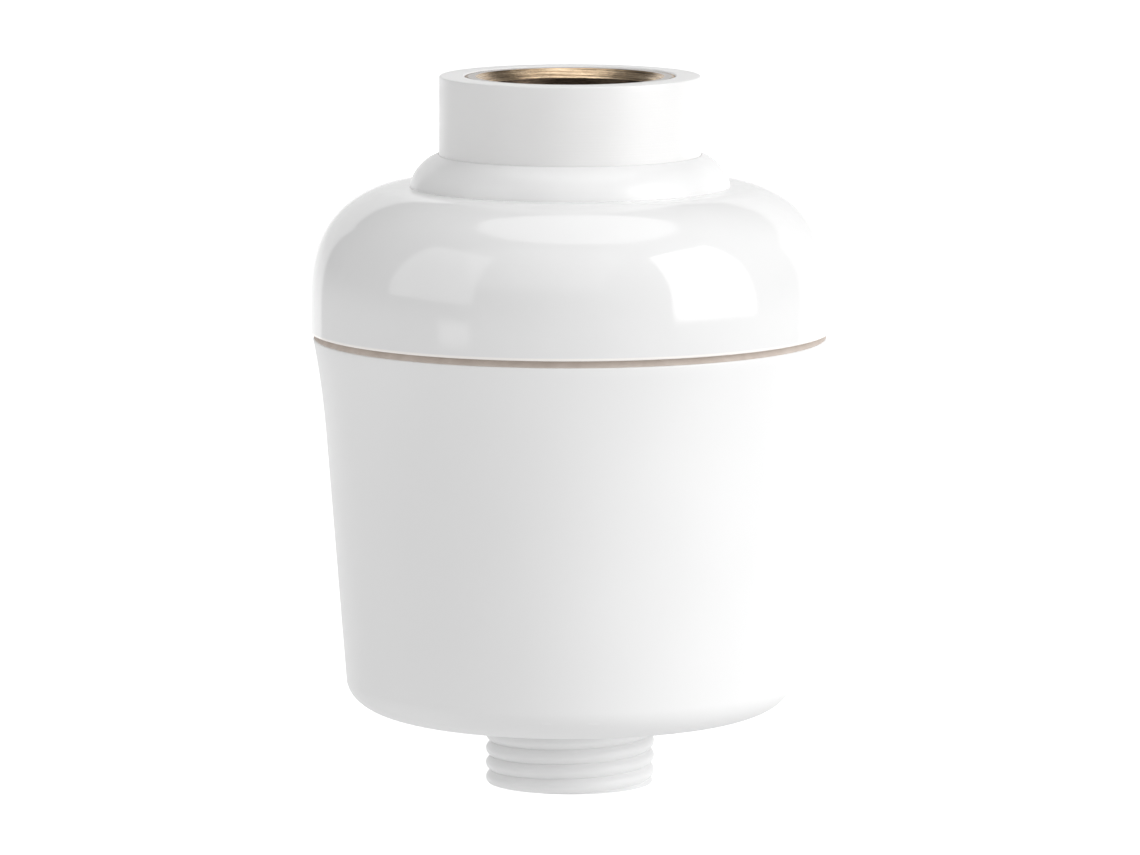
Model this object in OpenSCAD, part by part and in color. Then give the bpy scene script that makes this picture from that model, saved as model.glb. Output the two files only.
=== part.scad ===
// Inline shower filter: a cup and a screwed cap around a filter cartridge.
// The outlet thread is at the bottom and the swivelling inlet collar on top.
// Origin: centre of the outlet's end face. +Z runs up through the inlet.

/* [Heights] */
// Length of the outlet spigot below the cup
outlet_h = 9; // [8.5:0.1:11]
// Height of the cup, from its flat bottom to its lip
cup_h = 46.4; // [45:0.1:48]
// Thickness of the gasket between the cup and the cap
gasket_t = 0.85; // [0.7:0.05:1]
// Height of the collar above the cap's edge
collar_rise = 31.35; // [31:0.05:33]

/* [Diameters] */
// Widest outside diameter of the cap
cap_d = 64.2; // [64:0.1:66]
// Outside diameter of the cup just above its bottom corner
base_d = 55.7; // [55.5:0.1:57]
// Outside diameter of the collar at its rim
collar_d = 32.1; // [31.8:0.1:32.3]
// Outside diameter of the brass insert
insert_d = 25.9; // [25:0.1:26.4]
// Outside diameter of the cartridge shell
cartridge_d = 47.8; // [46.5:0.1:48]

/* [Pipe threads] */
// Outside diameter of the outlet thread
outlet_d = 20.84; // [20.7:0.01:20.95]
// Crest diameter of the inlet thread in the brass insert
inlet_d = 18.64; // [18.6:0.01:19.1]
// Distance from one thread turn to the next
pipe_pitch = 1.814; // [1.8:0.001:1.82]
// Diameter of the water way through the outlet
outlet_bore_d = 13; // [11:0.5:14]

/* [Cap thread] */
// Rise of the cap for one turn
cap_lead = 3; // [2.8:0.1:3.2]
// Gap left between the two cap threads, and across them
thread_gap = 0.3; // [0.25:0.05:0.35]

/* [Hidden] */

white = [0.93, 0.93, 0.93];
soft_white = [0.88, 0.88, 0.88];
tan = [0.72, 0.62, 0.53];
gold = [0.80, 0.62, 0.30];
steel = [0.65, 0.66, 0.68];
black = [0.10, 0.10, 0.10];

arc_steps = 20;
e = 0.01;

// Levels, from the outlet's end face up
lip_z = outlet_h + cup_h;
cap_z = lip_z + gasket_t;
rim_z = cap_z + collar_rise;

// Cup: its side, its bottom corner, its lip and the neck that the cap screws on
cup_taper = 0.0775;
corner_w = 6.2;
corner_h = 4.2;
flare_from = 0.71;
flare_w = 0.65;
lip_round = 0.45;
floor_t = 3;
cup_floor_z = outlet_h + floor_t;
cavity_r = 25.1;
neck_z = lip_z + 9.6;
neck_r = 28.4;
neck_bore_r = 26.4;
gasket_r = 31.2;

// Guides in the cup, and the cartridge keys that run between them
key_count = 4;
key_w = 2.4;
key_t = 1;
key_h = 33;
guide_spread = 6;
guide_w = 1.2;
guide_h = 36;
guide_r = cartridge_d / 2 + 0.4;
foot_r = 20;

// Cap: a superellipse dome over a straight skirt, with a web and a boss inside.
// The dome's top runs out into a nearly flat shoulder round the neck ring.
dome_c = 12.3;
dome_w = cap_d / 2 - dome_c;
dome_z = cap_z + 1.8;
dome_h = 17.1;
dome_power = 2.8;
dome_wall = 2.5;
shoulder_z = dome_z + 16;
shoulder_blend = 0.5;
edge_round = 0.5;
skirt_r = neck_r + 1 + thread_gap;
skirt_z = cap_z + 9.2;
web_r = 21.5;
web_z = cap_z + 13.35;
seat_z = web_z + 2.7;
boss_r = 12.4;
boss_z = cap_z + 5;
cap_rib_count = 6;
cap_rib_w = 1.6;
cap_rib_z = cap_z + 10.6;

// Swivel: the collar's tail and flange, held down by the neck ring
tail_r = 9.6;
tail_z = cap_z + 10.2;
tail_bore_r = 5.5;
swivel_gap = 0.08;
slip_t = 0.6;
flange_r = 17.4;
flange_z = seat_z + slip_t + 0.05;
flange_t = 1.75;
ring_r = 19.3;
ring_bore_r = 16.2;
ring_cavity_r = 17.8;
ring_lip_z = flange_z + flange_t + 0.3;
ring_foot_z = shoulder_z;
ring_arc_c = [14.6, seat_z + 0.7];
ring_arc_r = 5.2;
collar_r = collar_d / 2;
collar_draft = 0.05;
rim_chamfer = 0.12;

// Insert, washer and screen
insert_r = insert_d / 2;
insert_drop = 0.15;
washer_seat_z = rim_z - 11.4;
washer_t = 2;
washer_bore_r = 6.2;
relief_h = 2.1;
relief_r = 9.6;
mouth_r = 11.3;
mouth_h = mouth_r - inlet_d / 2;
screen_t = 0.3;
screen_z = washer_seat_z + 0.85;

// Pipe threads: the depth of each groove, where the outlet's groove would pass angle 0
// and the levels that it starts and stops at
inlet_depth = 1.1;
outlet_r = outlet_d / 2;
outlet_depth = 0.62;
outlet_phase = 0.56;
outlet_from = 1.45;
outlet_to = outlet_h - 1.2;
outlet_chamfer = 0.25;
pipe_steps = 40;
// Thread crests are moulded in eighths, and every other eighth stands out by this much
slide_count = 8;
slide_step = 0.01;

// Cap thread: one ridge on the neck and one in the skirt
cap_thread_z = lip_z + 2.9;
cap_turns = 1.75;
cap_steps = 60;
ridge_foot = 0.95;
ridge_top = 0.45;

// Cartridge
cart_r = cartridge_d / 2;
cart_z = cup_floor_z + 2.5;
cart_wall = 1.4;
cart_lid_z = cap_z + 2;
cart_lid_t = 1.75;
cart_neck_r = 12.9;
cart_neck_wall = 2;
cart_neck_h = 5.6;
bed_z = cart_z + 1.6;
bed_r = cart_r - cart_wall - 0.1;

// Thickness of each filter layer, from the cartridge floor up
layer_h = [0.4, 4, 9.5, 0.8, 8, 0.8, 4, 0.8, 7.5, 4, 0.4];
function layer_z(i) = i == 0 ? bed_z : layer_z(i - 1) + layer_h[i - 1];

// O-rings: the wire's radius and the radius that its centre runs on
ring_gap = 0.05;
swivel_wire = 0.75;
swivel_ring_c = tail_r + swivel_gap - ring_gap - swivel_wire;
swivel_groove_z = tail_z + 2.2;
neck_wire = 0.8;
neck_ring_c = cart_neck_r - ring_gap - neck_wire;
neck_groove_z = boss_z + 2.8;
groove_half = neck_wire + 0.15;

// ---- Shapes used by several parts ----

module tube(r_out, r_in, z0, z1) {
    translate([0, 0, z0])
        difference() {
            cylinder(h = z1 - z0, r = r_out, $fn = 128);
            translate([0, 0, -e]) cylinder(h = z1 - z0 + 2 * e, r = r_in, $fn = 128);
        }
}

module disc(r, z0, z1) {
    translate([0, 0, z0]) cylinder(h = z1 - z0, r = r, $fn = 128);
}

module revolve(points) {
    rotate_extrude($fn = 128) polygon(points);
}

module o_ring(centre_r, wire_r, z) {
    translate([0, 0, z])
        rotate_extrude($fn = 96) translate([centre_r, 0]) circle(r = wire_r, $fn = 32);
}

// Rings of round holes, each ring given as [radius, count]
module hole_rings(rings, hole_r, z0, z1) {
    for (ring = rings, i = [0 : ring[1] - 1])
        rotate(i * 360 / ring[1])
            translate([ring[0], 0, z0]) cylinder(h = z1 - z0, r = hole_r, $fn = 24);
}

// Arc from one angle to another about a centre, as a list of points
function arc(centre, r, from, to, steps = arc_steps) =
    [for (i = [0 : steps])
        let (a = from + (to - from) * i / steps)
        centre + r * [cos(a), sin(a)]];

// Quarter of a superellipse, from its side up to its top
function super_arc(c, z, w, h) =
    [for (i = [0 : 2 * arc_steps])
        let (a = 45 * i / arc_steps)
        [c + w * pow(cos(a), 2 / dome_power), z + h * pow(sin(a), 2 / dome_power)]];

// The lower of a level and a limit, rounded off where they come within a blend of each other
function soft_min(z, limit, blend) =
    min(z, limit) - pow(max(blend - abs(z - limit), 0), 2) / (4 * blend);

// A profile swept along a right-hand helix. It sinks back to base_r over the last
// quarter turn at each end, so the thread fades out.
function fade(t, turns) = max(0.15, min(1, 4 * t, 4 * (turns - t)));
function swept(profile, base_r, lead, t, turns) =
    [for (p = profile)
        let (r = base_r + (p[0] - base_r) * fade(t, turns))
        [r * cos(360 * t), r * sin(360 * t), p[1] + lead * t]];

module helix(profile, base_r, lead, turns, steps_per_turn) {
    n = len(profile);
    count = ceil(turns * steps_per_turn);
    points = [for (i = [0 : count]) each swept(profile, base_r, lead, turns * i / count, turns)];
    sides = [for (i = [0 : count - 1], j = [0 : n - 1])
        let (a = i * n + j, b = i * n + (j + 1) % n)
        each [[a, b, b + n], [a, b + n, a + n]]];
    first = [for (j = [n - 1 : -1 : 0]) j];
    last = [for (j = [0 : n - 1]) count * n + j];
    polyhedron(points, concat([first], sides, [last]));
}

// Round body with the crest radius of a thread, in eighths that alternate by slide_step
module crest(r, z0, z1) {
    disc(r - slide_step, z0, z1);
    intersection() {
        disc(r, z0, z1);
        for (i = [0 : 2 : slide_count - 1])
            rotate(i * 360 / slide_count)
                translate([0, 0, z0])
                    linear_extrude(height = z1 - z0)
                        polygon([[0, 0], [2 * r, 0], [2 * r, 2 * r * tan(360 / slide_count)]]);
    }
}

// ---- Housing ----

// Outside radius of the cup's side, at a share k of its height above the corner
function flare(k) = k > flare_from ? flare_w * pow((k - flare_from) / (1 - flare_from), 2.2) : 0;
function cup_r(k) = base_d / 2 - 0.2 + cup_taper * (cup_h - corner_h) * k + flare(k);

module cup_outside() {
    side_h = cup_h - corner_h - lip_round;
    corner_c = cup_r(0) - corner_w;
    corner = [for (i = [0 : arc_steps])
        let (a = 90 * i / arc_steps)
        [corner_c + corner_w * sin(a), outlet_h + corner_h * (1 - cos(a))]];
    side = [for (i = [1 : arc_steps])
        [cup_r(i / arc_steps), outlet_h + corner_h + side_h * i / arc_steps]];
    lip = arc([cup_r(1) - lip_round, lip_z - lip_round], lip_round, 15, 90, 5);
    revolve(concat([[0, outlet_h]], corner, side, lip, [[0, lip_z]]));
    disc(neck_r, lip_z - e, neck_z);
}

module cup_cavity() {
    revolve([[0, cup_floor_z], [cavity_r - 2, cup_floor_z], [cavity_r, cup_floor_z + 2],
        [neck_bore_r, lip_z], [neck_bore_r, neck_z + e], [0, neck_z + e]]);
}

module outlet_spigot() {
    end_r = outlet_r - outlet_chamfer;
    intersection() {
        crest(outlet_r, 0, outlet_h + e);
        cylinder(h = outlet_h + e, r1 = end_r, r2 = end_r + outlet_h + e, $fn = 128);
    }
}

module outlet_groove() {
    out_r = outlet_r + 0.3;
    root_r = outlet_r - outlet_depth;
    rotate((outlet_from - outlet_phase) * 360 / pipe_pitch)
        translate([0, 0, outlet_from])
            helix([[out_r, -0.9], [out_r, 0.9], [root_r, 0.16], [root_r, -0.16]],
                out_r + 0.2, pipe_pitch, (outlet_to - outlet_from) / pipe_pitch, pipe_steps);
}

// Pairs of ribs that centre the cartridge and hold its keys, each with a foot below it
module cup_guides() {
    for (i = [0 : key_count - 1], side = [-1, 1])
        rotate(i * 360 / key_count + side * guide_spread) {
            translate([guide_r, -guide_w / 2, cup_floor_z - e])
                cube([neck_bore_r + 1 - guide_r, guide_w, guide_h]);
            translate([foot_r, -guide_w / 2, cup_floor_z - e])
                cube([cavity_r + 1 - foot_r, guide_w, cart_z - cup_floor_z - 0.1]);
        }
}

// Thread ridge on a wall of radius wall_r: side 1 stands outwards, and -1 inwards
module cap_ridge(wall_r, side) {
    foot_r = wall_r - 0.3 * side;
    crest_r = wall_r + side;
    foot = (ridge_foot + 0.15) * side;
    crest = ridge_top * side;
    translate([0, 0, cap_thread_z])
        helix([[foot_r, -foot], [crest_r, -crest], [crest_r, crest], [foot_r, foot]],
            wall_r - 0.5 * side, cap_lead, cap_turns, cap_steps);
}

module housing_cup() {
    color(soft_white) {
        difference() {
            union() {
                cup_outside();
                outlet_spigot();
            }
            cup_cavity();
            translate([0, 0, -1])
                cylinder(h = outlet_h + floor_t + 2, d = outlet_bore_d, $fn = 96);
            outlet_groove();
        }
        intersection() {
            cup_guides();
            cup_outside();
        }
        cap_ridge(neck_r, 1);
    }
}

module housing_gasket() {
    color(tan) tube(gasket_r, neck_r + 0.15, lip_z, cap_z);
}

// ---- Cap ----

module dome_outside() {
    edge = arc([dome_c + dome_w - edge_round, cap_z + edge_round], edge_round, -90, 0, 6);
    dome = [for (p = super_arc(dome_c, dome_z, dome_w, dome_h))
        [p[0], soft_min(p[1], shoulder_z, shoulder_blend)]];
    revolve(concat([[0, cap_z]], edge, dome, [[0, shoulder_z]]));
}

module dome_inside() {
    dome = super_arc(dome_c, dome_z, dome_w - dome_wall, dome_h - dome_wall);
    revolve(concat([[0, cap_z - 1], [dome_c + dome_w - dome_wall, cap_z - 1]], dome,
        [[0, dome_z + dome_h - dome_wall]]));
    disc(skirt_r, cap_z - 1, skirt_z);
}

module cap_ribs() {
    intersection() {
        for (i = [0 : cap_rib_count - 1])
            rotate(i * 360 / cap_rib_count)
                translate([boss_r - 0.5, -cap_rib_w / 2, cap_rib_z])
                    cube([cap_d / 2 - boss_r, cap_rib_w, dome_h]);
        dome_outside();
    }
}

module cap_shell() {
    color(white) {
        difference() {
            union() {
                difference() {
                    dome_outside();
                    dome_inside();
                }
                disc(web_r, web_z, seat_z + 1);
                disc(boss_r, boss_z, web_z + e);
                cap_ribs();
            }
            disc(ring_r, seat_z, seat_z + 10);
            disc(tail_r + swivel_gap, boss_z - 1, seat_z + 1);
            tube(boss_r + 1, neck_ring_c - neck_wire - ring_gap,
                neck_groove_z - groove_half, neck_groove_z + groove_half);
        }
        rotate(180) cap_ridge(skirt_r, -1);
    }
}

module neck_ring() {
    from = asin((ring_foot_z - ring_arc_c[1]) / ring_arc_r);
    to = acos((ring_bore_r - ring_arc_c[0]) / ring_arc_r);
    crown = arc(ring_arc_c, ring_arc_r, from, to);
    color(white)
        revolve(concat([[ring_cavity_r, seat_z], [ring_r, seat_z], [ring_r, ring_foot_z]], crown,
            [[ring_bore_r, ring_lip_z], [ring_cavity_r, ring_lip_z]]));
}

module slip_ring() {
    color(soft_white) tube(flange_r - 0.2, tail_r + 0.6, seat_z, seat_z + slip_t);
}

module neck_o_ring() {
    color(black) o_ring(neck_ring_c, neck_wire, neck_groove_z);
}

// ---- Swivelling inlet ----

module inlet_collar() {
    wall = [[collar_r + collar_draft, flange_z + flange_t], [collar_r, rim_z - rim_chamfer],
        [collar_r - rim_chamfer, rim_z]];
    color(white)
        difference() {
            revolve(concat([[tail_bore_r, tail_z], [tail_r, tail_z], [tail_r, flange_z],
                [flange_r, flange_z], [flange_r, flange_z + flange_t]], wall,
                [[insert_r, rim_z], [insert_r, washer_seat_z], [tail_bore_r, washer_seat_z]]));
            tube(tail_r + 1, swivel_ring_c - swivel_wire - ring_gap,
                swivel_groove_z - groove_half, swivel_groove_z + groove_half);
        }
}

module inlet_groove() {
    in_r = inlet_d / 2 - 0.25;
    root_r = inlet_d / 2 + inlet_depth;
    translate([0, 0, washer_seat_z + relief_h])
        helix([[in_r, 0.9], [in_r, -0.9], [root_r, -0.12], [root_r, 0.12]],
            in_r - 0.2, pipe_pitch, (rim_z - washer_seat_z - relief_h) / pipe_pitch, pipe_steps);
}

module inlet_insert() {
    top_z = rim_z - insert_drop;
    color(gold)
        difference() {
            disc(insert_r, washer_seat_z, top_z);
            crest(inlet_d / 2, washer_seat_z - 1, top_z + 1);
            disc(relief_r, washer_seat_z - 1, washer_seat_z + relief_h);
            translate([0, 0, top_z - mouth_h])
                cylinder(h = mouth_h + e, r1 = inlet_d / 2, r2 = mouth_r, $fn = 128);
            inlet_groove();
        }
}

module inlet_washer() {
    color(black)
        difference() {
            tube(relief_r - 0.2, washer_bore_r, washer_seat_z, washer_seat_z + washer_t);
            disc(washer_bore_r + 0.5, screen_z, screen_z + screen_t);
        }
}

module inlet_screen() {
    color(steel)
        difference() {
            disc(washer_bore_r + 0.5, screen_z, screen_z + screen_t);
            hole_rings([[0, 1], [1.6, 6], [3.2, 12], [4.8, 18]], 0.45, screen_z - 1, screen_z + 2);
        }
}

module swivel_o_ring() {
    color(black) o_ring(swivel_ring_c, swivel_wire, swivel_groove_z);
}

// ---- Cartridge ----

module cartridge_shell() {
    color(soft_white)
        difference() {
            union() {
                disc(cart_r, cart_z, cart_lid_z);
                for (i = [0 : key_count - 1])
                    rotate(i * 360 / key_count)
                        translate([cart_r - 1, -key_w / 2, cart_z])
                            cube([1 + key_t, key_w, key_h]);
            }
            disc(cart_r - cart_wall, bed_z, cart_lid_z + 1);
            hole_rings([[0, 1], [6, 8], [12, 16], [18, 24]], 1.4, cart_z - 1, bed_z + 1);
        }
}

module cartridge_lid() {
    plate_z = cart_lid_z + cart_lid_t;
    color(soft_white)
        difference() {
            union() {
                disc(cart_r, cart_lid_z, plate_z);
                tube(bed_r, bed_r - cart_wall, cart_lid_z - 1.5, cart_lid_z + e);
                tube(cart_neck_r + cart_neck_wall, cart_neck_r, plate_z - e,
                    plate_z + cart_neck_h);
            }
            hole_rings([[0, 1], [4.5, 6], [9, 12]], 1.3, cart_lid_z - 1, plate_z + 1);
        }
}

// One flat filter layer, counted from the cartridge floor up
module layer(i) {
    disc(bed_r, layer_z(i), layer_z(i) + layer_h[i]);
}

module bottom_screen() {
    color(steel) layer(0);
}

module bottom_pad() {
    color(white) layer(1);
}

module carbon_granules() {
    color(black) layer(2);
}

module lower_divider() {
    color(soft_white) layer(3);
}

module ceramic_balls() {
    color(tan) layer(4);
}

module middle_divider() {
    color(soft_white) layer(5);
}

module kdf_granules() {
    color(gold) layer(6);
}

module upper_divider() {
    color(soft_white) layer(7);
}

module sulfite_beads() {
    color(white) layer(8);
}

module top_pad() {
    color(white) layer(9);
}

module top_screen() {
    color(steel) layer(10);
}

housing_cup();
housing_gasket();
cap_shell();
neck_ring();
slip_ring();
neck_o_ring();
inlet_collar();
inlet_insert();
inlet_washer();
inlet_screen();
swivel_o_ring();
cartridge_shell();
cartridge_lid();
top_screen();
top_pad();
sulfite_beads();
upper_divider();
kdf_granules();
middle_divider();
ceramic_balls();
lower_divider();
carbon_granules();
bottom_pad();
bottom_screen();
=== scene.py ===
"""Inline shower filter: the visual model, the studio and the camera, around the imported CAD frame.

Sizes are in millimetres until a mesh is made. Every round piece is a cross-section turned about +Z.
"""

import math
import random

import bmesh
import bpy
from mathutils import Euler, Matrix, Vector, noise


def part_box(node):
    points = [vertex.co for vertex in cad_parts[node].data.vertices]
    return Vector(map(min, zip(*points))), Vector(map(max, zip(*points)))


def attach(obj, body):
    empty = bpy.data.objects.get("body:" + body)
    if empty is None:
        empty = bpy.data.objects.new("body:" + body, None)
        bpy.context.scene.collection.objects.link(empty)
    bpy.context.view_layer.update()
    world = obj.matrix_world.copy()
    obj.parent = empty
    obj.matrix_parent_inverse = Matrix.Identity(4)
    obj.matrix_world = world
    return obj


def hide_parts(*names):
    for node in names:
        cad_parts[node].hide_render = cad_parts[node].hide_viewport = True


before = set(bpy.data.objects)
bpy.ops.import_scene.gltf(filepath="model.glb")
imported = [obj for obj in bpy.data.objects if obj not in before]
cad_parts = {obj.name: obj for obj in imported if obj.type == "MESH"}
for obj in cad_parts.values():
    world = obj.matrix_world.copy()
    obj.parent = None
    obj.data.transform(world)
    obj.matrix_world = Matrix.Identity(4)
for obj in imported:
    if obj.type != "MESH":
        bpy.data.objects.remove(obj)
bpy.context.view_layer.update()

MM = 0.001
TURN = 2 * math.pi
GOLDEN_ANGLE = math.pi * (3 - math.sqrt(5))
COLUMNS = 288  # facets round a turned piece
WELD = 0.000002  # metres
SMOOTH = 35  # degrees, above which an edge is shaded sharp


def low(node):
    """Lowest corner of a CAD node, in mm."""
    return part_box(node)[0] / MM


def high(node):
    """Highest corner of a CAD node, in mm."""
    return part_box(node)[1] / MM


# ---- Sizes: levels and radii from the frame, then the shapes between them ----

LIP_Z = low("housing_gasket").z
CAP_Z = low("cap_shell").z
SEAT_Z = low("neck_ring").z
RIM_Z = high("inlet_collar").z
NECK_Z = high("housing_cup").z
INSERT_PROUD = 0.04
INSERT_TOP = high("inlet_insert").z + INSERT_PROUD
WASHER_Z = low("inlet_washer").z

CAP_R = high("cap_shell").x
GASKET_R = high("housing_gasket").x
NECK_RING_R = high("neck_ring").x
FLANGE_R = high("inlet_collar").x
INSERT_R = high("inlet_insert").x

# Cup
OUTLET_H = 9.0
OUTLET_BORE_R = 6.5
OUTLET_BORE_CHAMFER = 0.4
OUTLET_BORE_MOUTH = 0.5
CORNER_W = 6.2
CORNER_H = 4.2
CUP_BASE_R = 27.65
CUP_TAPER = 0.0775
FLARE_FROM = 0.71
FLARE_W = 0.65
FLARE_POWER = 2.2
LIP_ROUND = 0.2
LIP_ANGLE = 12
NECK_R = 28.4
NECK_BORE_R = 26.4
NECK_CHAMFER = 0.4
NECK_BORE_CHAMFER = 0.3
CAVITY_R = 25.1
CAVITY_Z = 12.0
CAVITY_CHAMFER = 2
CARTRIDGE_Z = low("cartridge_shell").z

# Guides for the cartridge, sunk a little into the cup's wall and floor
GUIDE_R = 24.3
GUIDE_FOOT_R = 20.0
GUIDE_H = 36.0
GUIDE_W = 1.2
GUIDE_SPREAD = 6
GUIDE_CHAMFER_W = 0.8
GUIDE_CHAMFER_H = 1
GUIDE_FLOOR_SUNK = 0.4
GUIDE_WALL_SUNK = 0.8
GUIDE_GAP = 0.1

# Gasket, with a small bead along its foot
GASKET_SLACK = 0.15
GASKET_FOOT_BACK = 0.12
GASKET_BEAD_W = 0.02
GASKET_BEAD_H = 0.1
GASKET_WAIST_W = 0.05
GASKET_WAIST_H = 0.22
GASKET_TOP_BACK = 0.1
GASKET_TOP_W = 0.15
GASKET_TOP_H = 0.12

# Outlet thread
PITCH = 1.814
OUTLET_R = 10.42
OUTLET_DEPTH = 0.62
OUTLET_POWER = 2.2
OUTLET_ROOT_Z = 0.56
OUTLET_CHAMFER = 0.25
OUTLET_ROWS = 14

# Cap thread
CAP_LEAD = 3.0
CAP_TURNS = 1.75
CAP_THREAD_Z = LIP_Z + 2.9
RIDGE_FOOT = 0.95
RIDGE_TOP = 0.45
RIDGE_PHASES = [k / CAP_LEAD for k in (-RIDGE_FOOT, -RIDGE_TOP, 0.0, RIDGE_TOP, RIDGE_FOOT)]
SKIRT_R = 29.7
SKIRT_Z = CAP_Z + 9.2
SKIRT_CHAMFER = 0.3

# Dome
DOME_C = 12.3
DOME_W = CAP_R - DOME_C
DOME_Z = CAP_Z + 1.8
DOME_H = 17.1
DOME_POWER = 2.8
DOME_WALL = 2.5
SHOULDER_Z = DOME_Z + 16
SHOULDER_BLEND = 0.5
EDGE_ROUND = 0.22
WEB_R = 21.5
WEB_Z = SEAT_Z - 2.7
BOSS_R = 12.4
BOSS_Z = low("cap_shell").z + 5.0
BOSS_CHAMFER = 0.3
TAIL_HOLE_R = 9.68
RIB_COUNT = 6
RIB_W = 1.6
RIB_Z = CAP_Z + 10.6
RIB_SUNK = 0.6
RIB_RISE = 0.4
RIB_BOSS_SUNK = 0.5

# Neck ring
CROWN_C = (14.6, SEAT_Z + 0.7)
CROWN_R = 5.2
CROWN_BORE_R = 16.12
CROWN_CAVITY_R = 17.8
CROWN_EDGE = 0.06
CROWN_EDGE_ANGLE = 75
CROWN_FOOT_Z = SHOULDER_Z + 0.03
CROWN_LIP_Z = SEAT_Z + 2.7

# Collar
COLLAR_R = 16.05
COLLAR_DRAFT = 0.05
RIM_ROUND = 0.2
TAIL_R = 9.6
TAIL_Z = low("inlet_collar").z
TAIL_BORE_R = 5.5
TAIL_CHAMFER = 0.4
TAIL_BORE_CHAMFER = 0.3
FLANGE_Z = SEAT_Z + 0.65
FLANGE_T = 1.75
FLANGE_CHAMFER = 0.3
COLLAR_FILLET = 0.3
COLLAR_BORE_CHAMFER = 0.14

# O-ring grooves
GROOVE_PLAY = 0.15
GROOVE_REACH = 1.06

# Insert
INLET_CREST_R = 9.32
INLET_DEPTH = 1.1
MOUTH_R = 11.6
MOUTH_H = 1.15
THREAD_TOP = 2.1
RELIEF_R = 9.6
RELIEF_H = 2.1
INLET_FLANK_END = 0.76
INLET_FLANK_W = 0.64
INLET_PHASES = (-0.42, -0.24, -0.066, 0.066, 0.24, 0.42)
TOOTH_COUNT = 144
TOOTH_DEPTH = 0.32
TOOTH_H = 2
TOOTH_CHAMFER = 0.12
INSERT_RING_W = 0.5

# Washer and screens
WASHER_BORE_R = 6.2
WASHER_ROUND = 0.3
SCREEN_CHAMFER = 0.05
SCREEN_WIRE_SHARE = 1 / 4.2
SCREEN_WIRE_SLACK = 0.97

# Pads and dividers
PAD_ROUND = 1.3
PAD_SUNK = 0.4
PAD_LUMPS = 0.22
FIBRE_COUNT = 260
FIBRE_POINTS = 8
FIBRE_STEP = 0.8
FIBRE_BEND = 0.35
FIBRE_R = 0.05
FIBRE_START_BACK = 2.5
FIBRE_END_BACK = 1.5
CLOTH_ROUND = 0.2
CLOTH_POINT_GAP = 1.5
CLOTH_SUNK = 0.03
CLOTH_PRESS = 0.14

# Filter beds, as shares of a grain's radius
ROW_STEP = 1.75
FACE_BACK = 1.5
WALL_PLAY = 0.2
FACE_PLAY = 0.3
CORE_BACK = 1.1


# ---- Cross-sections ----


def arc(centre, radius, start, end, steps=8):
    """Points of a round stretch, from one angle to another in degrees."""
    points = []
    for k in range(steps + 1):
        a = math.radians(start + (end - start) * k / steps)
        points.append((centre[0] + radius * math.cos(a), centre[1] + radius * math.sin(a)))
    return points


def line(a, b, steps):
    """Points from a to b, without b."""
    return [(a[0] + (b[0] - a[0]) * k / steps, a[1] + (b[1] - a[1]) * k / steps) for k in range(steps)]


def dome_arc(width, height, steps, top_r):
    """Quarter superellipse from the side up, stopped where its radius falls to top_r."""
    power = 2 / DOME_POWER
    last = math.acos(((top_r - DOME_C) / width) ** (1 / power))
    points = []
    for k in range(steps + 1):
        a = last * k / steps
        r = DOME_C + width * math.cos(a) ** power
        points.append((r, DOME_Z + height * math.sin(a) ** power))
    return points


def soft_min(z, limit, blend):
    """The lower of a level and a limit, rounded off where they come within a blend of each other."""
    return min(z, limit) - max(blend - abs(z - limit), 0) ** 2 / (4 * blend)


def screw_rows(radius_at, z_from, z_to, lead, start, phases):
    """Rows that climb one lead a turn between two levels. Row radii come from radius_at(angle, z)."""
    rows = []
    first = math.floor((z_from - start) / lead) - 1
    last = math.ceil((z_to - start) / lead)
    for turn in range(first, last + 1):
        for phase in phases:

            def row(angle, level=turn + phase):
                z = start + lead * (level + angle / TURN)
                z = min(max(z, z_from), z_to)
                return radius_at(angle, z), z

            rows.append(row)
    return rows


def lathe(name, section, columns=COLUMNS, sharp=SMOOTH):
    """Closed mesh of revolution. A row of the section is a point (r, z) or a function of the angle.

    Screw rows end a lead higher than they start, so the last column is welded to the first one.
    """
    bm = bmesh.new()
    grid = []
    for column in range(columns + 1):
        angle = TURN * column / columns
        x, y = math.cos(angle) * MM, math.sin(angle) * MM
        points = [row(angle) if callable(row) else row for row in section]
        grid.append([bm.verts.new((r * x, r * y, z * MM)) for r, z in points])
    count = len(section)
    for here, there in zip(grid, grid[1:]):
        for k in range(count):
            n = (k + 1) % count
            bm.faces.new((here[k], there[k], there[n], here[n]))
    bmesh.ops.remove_doubles(bm, verts=bm.verts, dist=WELD)
    bmesh.ops.recalc_face_normals(bm, faces=bm.faces)
    return finished(name, bm, sharp)


def shaded(name, mesh, sharp=SMOOTH):
    """An object for a mesh, shaded smooth except at its sharp edges."""
    mesh.shade_smooth()
    mesh.set_sharp_from_angle(angle=math.radians(sharp))
    piece = bpy.data.objects.new(name, mesh)
    bpy.context.scene.collection.objects.link(piece)
    return piece


def finished(name, bm, sharp=SMOOTH):
    """An object for a bmesh, which is freed."""
    mesh = bpy.data.meshes.new(name)
    bm.to_mesh(mesh)
    bm.free()
    return shaded(name, mesh, sharp)


def from_lists(name, points, faces, sharp=SMOOTH):
    """An object from points in mm and faces that index them."""
    mesh = bpy.data.meshes.new(name)
    mesh.from_pydata([Vector(point) * MM for point in points], [], faces)
    return shaded(name, mesh, sharp)


def joined(name, parts, sharp=SMOOTH):
    """One object from several that are then removed."""
    bm = bmesh.new()
    for part in parts:
        bm.from_mesh(part.data)
        bpy.data.objects.remove(part)
    return finished(name, bm, sharp)


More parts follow.
